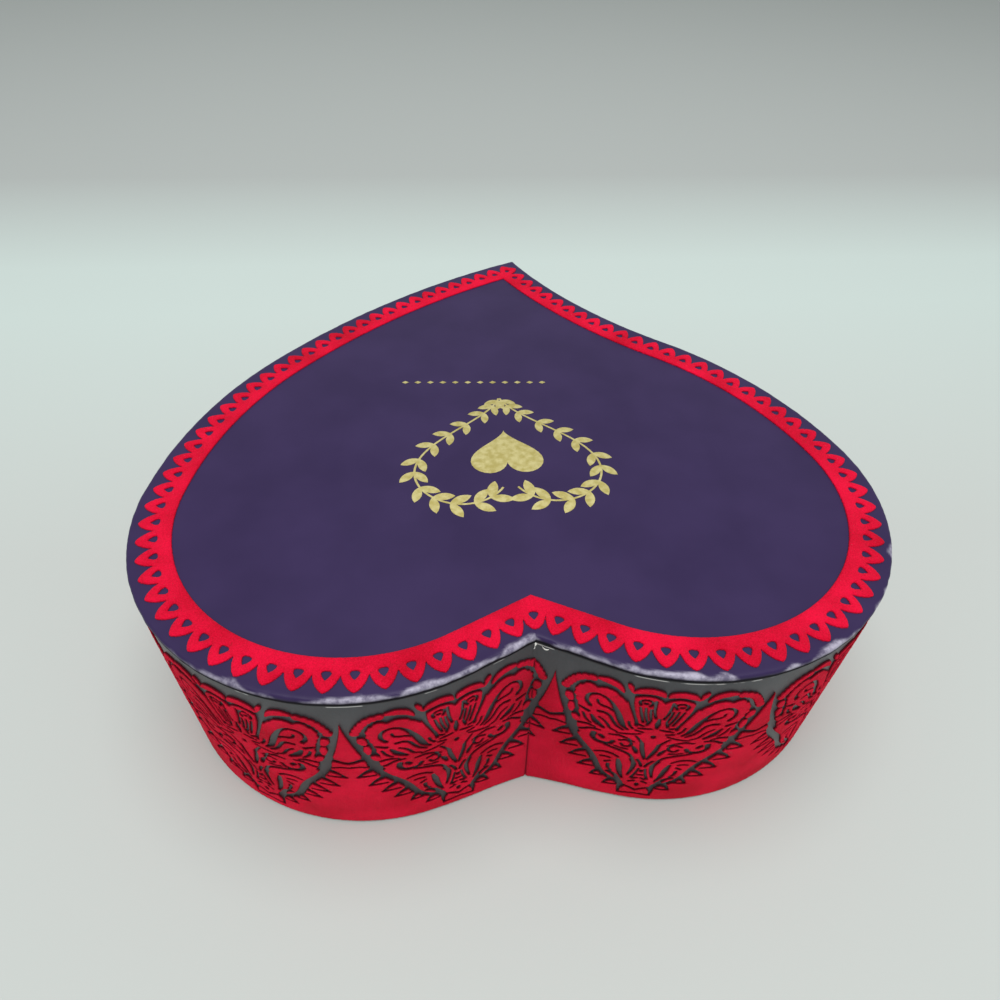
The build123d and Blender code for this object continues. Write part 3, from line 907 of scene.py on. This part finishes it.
SCROLL_CUTS = (
    ((0.42, 0.3, 0.28, 0.26), ((13.6, 36.1), (14.4, 37.5), (14.3, 39.3), (13.5, 40.6), (12.1, 41.2), (10.7, 40.7))),
    (
        (0.26, 0.42, 0.62, 0.6, 0.24),
        ((10.7, 40.7), (9.6, 39.4), (8.6, 37.4), (7.8, 35.4), (7.1, 33.2), (6.4, 31.3), (5.4, 30.3)),
    ),
    ((0.16, 0.26, 0.22), ((12.3, 39), (12.1, 38), (11.2, 37.4), (10, 37.2), (8.8, 36.4))),
    ((0.34, 0.3, 0.26, 0.18), ((11.7, 34.8), (10.4, 34.9), (9.3, 34.1), (8.5, 32.4), (7.6, 30.8), (6.2, 29.7))),
    ((0.2, 0.38), ((15.8, 34.7), (13.7, 33.7))),
    ((0.18, 0.26, 0.18), ((14.6, 32.4), (14, 30.6), (12.8, 29.2))),
    ((0.24, 0.7, 0.34), ((12.9, 32.4), (11.8, 30.3), (10.1, 28.8))),
    ((0.16, 0.24, 0.16), ((11.3, 32.6), (10.2, 31.7), (9.4, 30.5), (8.8, 29.3), (7.4, 28.5))),
    ((0.24, 0.28, 0.2), ((15.3, 28), (13.4, 28.4), (11.8, 28))),
    ((0.24, 0.24, 0.18), ((15.6, 25.6), (14.1, 26.1), (12.6, 27.1), (10.6, 27.4))),
)
HOOK_CUTS = (
    ((0.52, 0.46, 0.42, 0.36), ((11.6, 25.7), (11.8, 24.2), (10.9, 23.1), (9.3, 22.8), (8, 23.2), (7.4, 24.3))),
    ((0.46, 0.42), ((10.2, 25.4), (9.7, 24.9))),
    ((0.16, 0.22, 0.16), ((7.2, 28), (5.6, 28.3), (4, 28.8), (2.7, 29.4))),
    ((0.16, 0.26, 0.16), ((8.5, 26.8), (6.6, 27.1), (5.1, 26.7), (3.4, 25.7))),
    ((0.18, 0.26, 0.22), ((6.3, 25.3), (4.9, 25.8), (3.8, 24.9), (4, 23.7), (5.2, 23.3), (5.8, 24.1))),
    ((0.24, 0.44, 0.28), ((3.2, 23.6), (2.7, 22.6), (2.3, 21.4))),
    ((0.18, 0.2), ((6.9, 22.7), (5.6, 22.3), (4.3, 22.3))),
    ((0.22, 0.3, 0.26), ((9, 22.3), (7, 21.7), (4.9, 21), (3.5, 20.1), (2.6, 18.7))),
    ((0.18, 0.24), ((3.3, 28.1), (2.5, 26.9), (1.8, 25.8))),
    ((0.34, 0.42, 0.24), ((1.7, 25.6), (1.4, 23.4), (0.8, 21), (0.3, 19.3))),
)
POINT_CUTS = (
    ((0.18, 0.26, 0.2), ((10.6, 18.7), (8.8, 19.4), (7, 19.2), (5.6, 18.3))),
    ((0.18, 0.22), ((9.2, 17.3), (8.2, 17.5), (7.2, 17.3))),
    ((0.28, 0.6, 0.48, 0.22), ((5.4, 17.2), (4.9, 14.8), (4.4, 11.8), (3.6, 9.4))),
    ((0.38, 0.46, 0.34, 0.18), ((2.8, 18.4), (2, 16.4), (2.1, 13.8), (2.6, 11.2))),
    ((0.24, 0.24), ((1.6, 18.6), (0.9, 17.4), (0.4, 15.9))),
    ((0.16, 0.24), ((0.7, 14.8), (1.1, 12.4), (1.7, 10.2))),
    ((0.36, 0.36), ((0, 13.6), (0, 14))),
    ((0.26, 0.22), ((0, 12), (0.6, 12))),
    ((0.3, 0.2), ((1.3, 10), (0.4, 10.6))),
    ((0.4, 0.36), ((0, 7), (0, 7.6))),
    ((0.2, 0.26), ((1.9, 8.4), (0.9, 9))),
    ((0.32, 0.48, 0.36, 0.34), ((7, 11.2), (5.7, 10.6), (4.6, 9), (3.5, 7.2), (3.2, 5.8))),
    ((0.3, 0.28), ((7.2, 14.4), (7.1, 13), (6.4, 11.9))),
    ((0.2, 0.22), ((7, 16.1), (8, 15.3))),
    ((0.26, 0.26), ((3, 6.3), (1.4, 5.6), (0, 4.6))),
)
CHANNEL = (
    (17.9, 30.2), (17.2, 28), (16.9, 26.2), (16.1, 24), (14.9, 21.9), (13.2, 19.6), (11.8, 17.7),
    (10.5, 15.2), (9.4, 12.4), (8.2, 10.2), (6.4, 8.6), (4.6, 7.2), (3.2, 5.8),
)
CHANNEL_CUTS = (
    ((0.75, 0.8, 0.8, 0.75, 0.65, 0.45), CHANNEL),
    ((0.14, 0.18), ((17.8, 26), (19.6, 26.3), (21.4, 26))),
    ((0.14, 0.18), ((18.2, 29.2), (20, 28.1), (21.4, 27.6))),
)
CUTS = FAN_CUTS + SCROLL_CUTS + HOOK_CUTS + POINT_CUTS + CHANNEL_CUTS
CUT_MORE = 0.03
SQUEEZE_ABOVE = 28.0
SQUEEZE = 0.9

# %% [markdown]
# Along the channel runs a row of saw teeth. Two cuts start at the tip of each: a thin line towards the heart's
# axis and a notch that widens into the channel.

# %% Saw teeth along the channel
TEETH = ((3.5, 2.5), (7.2, 5.4), (10.4, 8.4), (13.6, 11.5), (15.9, 14.7), (18.2, 18.0), (20.2, 21.8))
TOOTH_LINE = (0.16, 0.24)
TOOTH_NOTCH = (0.10, 0.36, 0.75)
LINE_RUN = np.array([-3.6, 0.6])
MOUTH_SIDE = np.array([-2.0, 2.6])
NOTCH_BOW = 0.2


def tooth_cuts(tip):
    """The two cuts that shape one tooth."""
    tip = np.array(tip)
    channel = smooth_line(CHANNEL)
    mouth = channel[np.hypot(*(channel - (tip + MOUTH_SIDE)).T).argmin()]
    return [(TOOTH_LINE, (tip + LINE_RUN, tip)), (TOOTH_NOTCH, (tip, (tip + mouth) / 2 + NOTCH_BOW, mouth))]


def half_heart(across, up):
    """Field of half a repeat: positive where there is pile. Its upper part is squeezed down from the rim."""
    up = np.where(up > SQUEEZE_ABOVE, SQUEEZE_ABOVE + (up - SQUEEZE_ABOVE) / SQUEEZE, up)
    field = filled(across, up, BODY)
    for widths, points in PETALS:
        field = np.maximum(field, stroke(across, up, points, widths))
    beads = smooth_line(BEAD_LINE)
    for bead in beads[np.linspace(0, len(beads) - 1, BEADS).astype(int)]:
        field = np.maximum(field, BEAD_RADIUS - np.hypot(across - bead[0], up - bead[1]))
    for outline in (SPIRE, GROUND):
        field = np.maximum(field, filled(across, up, outline))
    tooth_strokes = [cut for tip in TEETH for cut in tooth_cuts(tip)]
    for widths, points in [*CUTS, *tooth_strokes]:
        field = np.minimum(field, -stroke(across, up, points, widths) - CUT_MORE)
    return field


print("cuts in half a heart", len(CUTS) + 2 * len(TEETH))

# %% [markdown]
# The drawn half is tiled round the skirt by folding: the column number counts up and down between the axis of a
# heart and the spire. The pile stands on the paper, its foot a hair below the face. Its edge gets a little random
# fuzz, and along the crease the pile is parted by the fold and painted dark there as shade. The cut side of the
# pile gets painted shade, most of all where it looks up: the slope of the field tells where that is. Near the
# crease the pile is painted darker, as shade in the hollow of the cleft.

# %% Lay the lace round the skirt
HEART_PHASE = 25.6
HALF_COLUMNS = 116
SKIRT_FOOT = 0.4
STRIP_TOP = 49.4
FOOT_ROOM, END_ROOM = 0.1, 0.2
INNER_SPACING = 1.6
FOLD_SPOTS = (-0.35, 0.0, 0.35)
FOLD_HEIGHTS = np.linspace(0.8, 48, 200)
FOLD_HALF = 0.3
FOLD_DEPTH = 0.9
LEVELS = (0.0, 0.09, 0.26)
PILE = 0.42
FOOT_SINK = 0.05
EDGE_FUZZ = 0.035
PILE_ROUGH = 0.025
CREASE_HOLLOW_SHADE, CREASE_HOLLOW_REACH = 0.26, 15
FOLD_SHADE = 0.85
# For each rank of points: share of the pile's height, shade, more shade where the cut looks up
PILE_SHARE = np.array([0.0, 0.8, 1.0, 0.0])
ROOT_SHADE = np.array([0.9, 0.4, 0.0, 0.6])
LOOKS_UP_SHADE = np.array([0.1, 0.4, 0.0, 0.0])

half_pitch = (left_end + right_end) / HEARTS / 2
column = half_pitch / HALF_COLUMNS
heights = np.arange(SKIRT_FOOT - 2 * column, STRIP_TOP, column)
half_across, half_up = np.meshgrid(np.arange(HALF_COLUMNS + 1) * column, heights, indexing="ij")
half_field = np.minimum(half_heart(half_across, half_up), half_up - SKIRT_FOOT - FOOT_ROOM)
steps = np.arange(-int((left_end + HEART_PHASE) / column), int((right_end - HEART_PHASE) / column) + 1)
folded = np.abs((steps + HALF_COLUMNS) % (2 * HALF_COLUMNS) - HALF_COLUMNS)
strip_x = HEART_PHASE + steps * column
from_end = np.minimum(strip_x + left_end, right_end - strip_x)[:, None]
strip_field = np.minimum(half_field[folded], from_end - END_ROOM)
fold_places = grid_places(FOLD_SPOTS, FOLD_HEIGHTS)
points, rank, faces = lace_mesh(strip_x, heights, strip_field, LEVELS, INNER_SPACING, fold_places)
fuzz = rng.normal(0, EDGE_FUZZ, points.shape) * (rank == 0)[:, None]
parted = near(points[:, 0], FOLD_HALF)
pile = PILE * PILE_SHARE[rank] * (1 - FOLD_DEPTH * parted) + rng.normal(0, PILE_ROUGH, len(points))
stand = np.where(rank % 3 == 0, -FOOT_SINK, pile) - SKIRT_INSET
skirt_points = on_skirt(points[:, 0] + fuzz[:, 0], points[:, 1] + fuzz[:, 1], stand)
skirt_lace = make_piece("skirt_lace", skirt_points, faces, skirt_flock, "lid")
climb = sample(strip_x, heights, np.gradient(strip_field, column, axis=1), points)
# Painted shade: the pile's roots and cut sides, the parted crease and the hollow near the cleft are darkened in the
# colour
root_shade = ROOT_SHADE[rank] + LOOKS_UP_SHADE[rank] * np.clip(-climb, 0, 1)
hollow_shade = CREASE_HOLLOW_SHADE * near(points[:, 0], CREASE_HOLLOW_REACH)
paint(skirt_lace, "root_shade", np.maximum.reduce([root_shade, parted * FOLD_SHADE, hollow_shade]))
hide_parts("lid_skirt_lace")

# %% [markdown]
# The border on the lid is drawn straight on its plan. Every place near the rim has two numbers: its inset from
# the rim and its run along the line of the scallop valleys. With these one scallop can be repeated all the way
# round, pointed outwards, with a drop-shaped hole. The scallop in the cleft is drawn by itself.

# %% Border lace on the lid
EDGE_GAP = 1.75
VALLEY = 5.2
BAND_END = 8.95
BORDER_SHIFT = np.array([0.0, -0.4])
SCALLOP_PITCH = 5.0
OFF_SCALLOP = SCALLOP_PITCH / 2 + 1
RIM_REACH, RUN_ON = 20, 1.05
BORDER_PILE = 0.4
BORDER_PILE_SHARE = np.array([0.0, 0.7, 1.0, 0.0])
BORDER_FOOT_SHADE = 0.3
BORDER_GRID = 0.2
BORDER_SPACING = 1.2
BORDER_HALF = (83, 82)


def mirrored(half):
    """Closed outline from its right half, which starts on the axis."""
    return half + tuple((-x, y) for x, y in half[:0:-1] if x)


SCALLOP = (
    (-4.0, 30.0), (-4.0, EDGE_GAP), (0.0, EDGE_GAP), (0.5, 2.0), (1.05, 2.5), (1.55, 3.15), (1.95, 3.8),
    (2.25, 4.45), (2.4, 4.85), (2.5, VALLEY), (4.0, VALLEY), (4.0, 30.0),
)
HOLE = mirrored(((0.0, 4.3), (0.4, 4.75), (0.78, 5.3), (0.9, 5.7), (0.75, 6.0), (0.4, 6.12), (0.0, 6.15)))
CLEFT_SCALLOP = mirrored(((0.0, 1.9), (0.9, 2.3), (1.7, 3.2), (2.2, 4.6), (2.4, 7.0)))
CLEFT_HOLE_SHIFT = 0.2


def rim_numbers(side, points):
    """Inset from the rim and run along the valley line for places on the lid (inset FAR where out of reach)."""
    lengths = run_lengths(side, VALLEY)
    arcs = side_arcs(side, VALLEY)
    along = (flap_end(side, VALLEY) - crease_point(VALLEY)) / lengths[0]
    run = (points - crease_point(VALLEY)) @ along
    inset = LOBE_RADIUS - (points - arcs[0][0]) @ ray(arcs[0][3])
    inset = np.where((run < lengths[0]) & (points[:, 1] < 0), inset, FAR)
    done = lengths[0]
    for (centre, radius, bulge, first, last), length in zip(arcs, lengths[1:]):
        spoke = points - centre
        turned = (np.degrees(np.arctan2(spoke[:, 1], spoke[:, 0])) - first + 180) % 360 - 180
        share = turned / (last - first)
        depth = bulge * (radius - np.hypot(*spoke.T))
        own = (share >= 0) & (share <= RUN_ON) & (np.abs(depth) < RIM_REACH)
        inset = np.where(own, depth, inset)
        run = np.where(own, done + share * length, run)
        done += length
    return inset, run, done


border_x, border_y = [np.arange(-half, half, BORDER_GRID) for half in BORDER_HALF]
plan = grid_places(border_x, border_y) - BORDER_SHIFT
left_numbers, right_numbers = [rim_numbers(side, plan) for side in SIDES]
on_left = np.where(plan[:, 1] < 0, plan[:, 0] < 0, left_numbers[0] < right_numbers[0])
rim_inset, run, total = [np.where(on_left, *pair) for pair in zip(left_numbers, right_numbers)]
pitch = total / np.round(total / SCALLOP_PITCH)
from_crown = np.abs((run + pitch / 2) % pitch - pitch / 2) * SCALLOP_PITCH / pitch
from_crown = np.where(run < pitch / 2, OFF_SCALLOP, from_crown)
border = np.minimum(filled(from_crown, rim_inset, SCALLOP), BAND_END - rim_inset)
border = np.minimum(border, -filled(from_crown, rim_inset, HOLE))
from_cleft = plan[:, 1] - crease_point(0)[1]
border = np.maximum(border, filled(plan[:, 0], from_cleft, CLEFT_SCALLOP))
border = np.minimum(border, -filled(plan[:, 0], from_cleft + CLEFT_HOLE_SHIFT, HOLE))
border = border.reshape(len(border_x), len(border_y))
points, rank, faces = lace_mesh(border_x, border_y, border, LEVELS, BORDER_SPACING, np.zeros((0, 2)))
points = points + rng.normal(0, EDGE_FUZZ, points.shape) * (rank == 0)[:, None]
pile = BORDER_PILE * BORDER_PILE_SHARE[rank] + rng.normal(0, PILE_ROUGH, len(points))
stand = np.where(rank % 3 == 0, -FOOT_SINK, pile)
border_points = np.column_stack([points, LID_TOP + stand])
border_lace = make_piece("border_lace", border_points, faces, border_flock, "lid")
# Painted shade darkens the foot of the border's pile
paint(border_lace, "root_shade", np.where(rank == 0, BORDER_FOOT_SHADE, 0.0))
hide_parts("lid_lace_border")

# %% [markdown]
# In the cleft the cover paper had to be slit, and two slivers of its white back stand out under the rim. Each is a
# narrow strip that tapers to a point and curls outwards; two layers of points give it a thickness.

# %% Torn slivers in the cleft
SLIVER_STEPS = 8
SLIVER_THICK = 0.07
SLIVER_TIP = 0.02
SLIVER_TAPER = 0.7
CURL_START, CURL_RISE, CURL_BEND = 0.15, 0.55, 2.2
# start across and up, heading, length, half width
SLIVERS = (((0.1, 48.9), (-0.6, -0.8), 1.2, 0.3), ((1.3, 48.2), (0.9, 0.4), 1.5, 0.32))
sliver_points = []
sliver_faces = []
for (across, height), heading, length, width in SLIVERS:
    direction = np.array(heading) / np.hypot(*heading)
    sideways = quarter_turn(direction)
    start = len(sliver_points)
    for k, share in enumerate(np.linspace(0, 1, SLIVER_STEPS)):
        spine = np.array([across, height]) + direction * length * share
        half_width = max(width * (1 - share) ** SLIVER_TAPER, SLIVER_TIP)
        curl = CURL_START + CURL_RISE * math.sin(CURL_BEND * share) - SKIRT_INSET
        for hand, lift in ((-1, 0), (1, 0), (1, SLIVER_THICK), (-1, SLIVER_THICK)):
            s, z = spine + sideways * half_width * hand
            sliver_points.append(on_skirt(np.array([s]), np.array([z]), np.array([curl + lift]))[0])
        if k:
            here, before = start + 4 * k, start + 4 * (k - 1)
            sliver_faces += [
                (before + m, before + (m + 1) % 4, here + (m + 1) % 4, here + m) for m in range(4)
            ]
    tail = start + 4 * (SLIVER_STEPS - 1)
    sliver_faces += [(start + 3, start + 2, start + 1, start), (tail, tail + 1, tail + 2, tail + 3)]
make_piece("torn_slivers", sliver_points, sliver_faces, sheets["white_sheet"], "lid")

# %% [markdown]
# The lid carries a foil ornament. This one is a plain wreath of leaves in the shape of a heart, round a small
# solid heart, with a row of diamonds behind it. Each shape is one flat face with a hair of thickness; a loop sets
# the leaves along the heart curve in pairs.

# %% Foil wreath
WREATH_CENTRE = np.array([-1.0, -18.4])
WREATH_WIDTH = 43.0
SMALL_HEART_WIDTH = 17.0
SMALL_HEART_POINTS = 48
FOIL = 0.04
FOIL_SINK = 0.02
FOIL_UNEVEN = 0.05
STEM_POINTS = 60
STEM_SHARES = (0.03, 0.43)
STEM_HALF = 0.25
LEAF_PAIRS = 13
FIRST_LEAF = 2
LEAF_POINTS, LEAF_BLUNT = 8, 0.8
LEAF_LENGTH = (4.0, 5.6)
LEAF_WIDTH = 0.44
LEAF_ALONG, LEAF_OUT = 0.75, 0.66
DIAMONDS = 12
DIAMOND = ((0.9, 0), (0, 0.6), (-0.9, 0), (0, -0.6))
ROW_FROM, ROW_TO = -25, 11
ROW_PLACE, ROW_SLOPE = 10.8, 0.045


def heart_curve(t):
    """A small heart with its cleft towards -Y, one unit wide; t runs from 0 at the cleft to 1."""
    a = 2 * math.pi * t
    x = 16 * math.sin(a) ** 3
    y = 13 * math.cos(a) - 5 * math.cos(2 * a) - 2 * math.cos(3 * a) - math.cos(4 * a)
    return np.array([x, -y]) / 32


def leaf(root, direction, length, width):
    """Outline of a pointed leaf."""
    across = quarter_turn(direction)
    shares = np.linspace(0, 1, LEAF_POINTS)
    bulge = np.sin(math.pi * shares) ** LEAF_BLUNT * width / 2
    one = [root + direction * length * s + across * b for s, b in zip(shares, bulge)]
    other = [root + direction * length * s - across * b for s, b in zip(shares[-2:0:-1], bulge[-2:0:-1])]
    return one + other


foil_shapes = []
for branch in (1, -1):
    spots = np.linspace(*STEM_SHARES, STEM_POINTS)
    stem = np.array([heart_curve(0.5 + branch * s) * WREATH_WIDTH for s in spots])
    along = np.gradient(stem, axis=0)
    along /= np.linalg.norm(along, axis=1)[:, None]
    normal = quarter_turn(along.T).T
    foil_shapes.append([*(stem + normal * STEM_HALF), *(stem - normal * STEM_HALF)[::-1]])
    for k in range(LEAF_PAIRS):
        at = FIRST_LEAF + int(k * (STEM_POINTS - 1 - FIRST_LEAF) / LEAF_PAIRS)
        size = LEAF_LENGTH[0] + (LEAF_LENGTH[1] - LEAF_LENGTH[0]) * k / LEAF_PAIRS
        for hand in (1, -1):
            direction = along[at] * LEAF_ALONG + normal[at] * LEAF_OUT * hand
            direction /= np.linalg.norm(direction)
            foil_shapes.append(leaf(stem[at], direction, size, size * LEAF_WIDTH))
foil_shapes.append([heart_curve(t) * SMALL_HEART_WIDTH for t in np.arange(SMALL_HEART_POINTS) / SMALL_HEART_POINTS])
for x in np.linspace(ROW_FROM, ROW_TO, DIAMONDS):
    middle = np.array([x, ROW_PLACE - x * ROW_SLOPE]) - WREATH_CENTRE
    foil_shapes.append([middle + np.array(v) for v in DIAMOND])
foil_points = []
foil_faces = []
for shape in foil_shapes:
    flat = np.array(shape) + WREATH_CENTRE
    ahead = np.roll(flat, -1, axis=0)
    area = (flat[:, 0] * ahead[:, 1] - ahead[:, 0] * flat[:, 1]).sum()
    flat = flat if area > 0 else flat[::-1]
    start, size = len(foil_points), len(flat)
    top = LID_TOP + FOIL * (1 + FOIL_UNEVEN * rng.random())
    foil_points += [(*p, LID_TOP - FOIL_SINK) for p in flat] + [(*p, top) for p in flat]
    foil_faces.append([start + size + k for k in range(size)])
    foil_faces.append([start + k for k in reversed(range(size))])
    for k in range(size):
        after = (k + 1) % size
        foil_faces.append((start + k, start + after, start + size + after, start + size + k))
make_piece("foil_wreath", foil_points, foil_faces, gold_foil, "lid", smooth=False)

# %% [markdown]
# Under the lid lies a cushion pad: several plies of soft paper, pressed in a diamond pattern and rounded along the
# edge. Its top and bottom are one triangulated sheet each, lifted by a formula: a crown that falls off towards
# the edge and grooves where the pattern was pressed in.

# %% Cushion pad
pad_low, pad_high = [Vector(v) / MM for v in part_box("candy_pad")]
PAD_INSET = 5.18
PAD_STEPS = 150
PAD_GRID = 1.7
PAD_REACH = 80
PAD_EDGE_ROOM = 1.0
PAD_ROUND = 2.2
QUILT = 11.0
QUILT_DEPTH = 0.7
GROOVE = 0.16
PRESS_FADE, PRESS_START = 5, 0.3


def depth_in_pad(places):
    return filled(places[:, 0], places[:, 1], pad_loop.tolist())


pad_loop = heart_loop(PAD_INSET, PAD_STEPS)
spots = np.arange(-PAD_REACH, PAD_REACH, PAD_GRID)
grid = grid_places(spots, spots)
depth_in = depth_in_pad(grid)
grid = grid[depth_in > PAD_EDGE_ROOM]
depth_in = np.concatenate([np.zeros(len(pad_loop)), depth_in[depth_in > PAD_EDGE_ROOM]])
pad_plan = np.vstack([pad_loop, grid])
rim = len(pad_loop)
loop_edges = np.column_stack([np.arange(rim), np.roll(np.arange(rim), -1)])
pad_faces = triangles(pad_plan, loop_edges, lambda places: depth_in_pad(places) > 0)
roll = np.sqrt(np.clip(1 - (1 - np.clip(depth_in / PAD_ROUND, 0, 1)) ** 2, 0, 1))
lines = [np.abs(np.sin(math.pi * (pad_plan @ (1, hand)) / QUILT)) for hand in (1, -1)]
pressed = np.exp(-((np.minimum(*lines) / GROOVE) ** 2)) * QUILT_DEPTH
pressed = pressed * np.clip(depth_in / PRESS_FADE - PRESS_START, 0, 1)
half_thick = (pad_high.z - pad_low.z) / 2
middle = (pad_high.z + pad_low.z) / 2
rise = roll * half_thick - pressed
upper = np.column_stack([pad_plan, middle + rise])
lower = np.column_stack([pad_plan, middle - rise])
numbers = np.arange(len(pad_plan))
lower_number = np.where(numbers < rim, numbers, numbers + len(pad_plan) - rim)
all_faces = np.vstack([pad_faces, lower_number[pad_faces][:, ::-1]])
cushion = np.vstack([upper, lower[rim:]])
pad = make_piece("cushion_pad", cushion, all_faces, sheets["pad_paper"], "pad")
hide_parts("candy_pad")
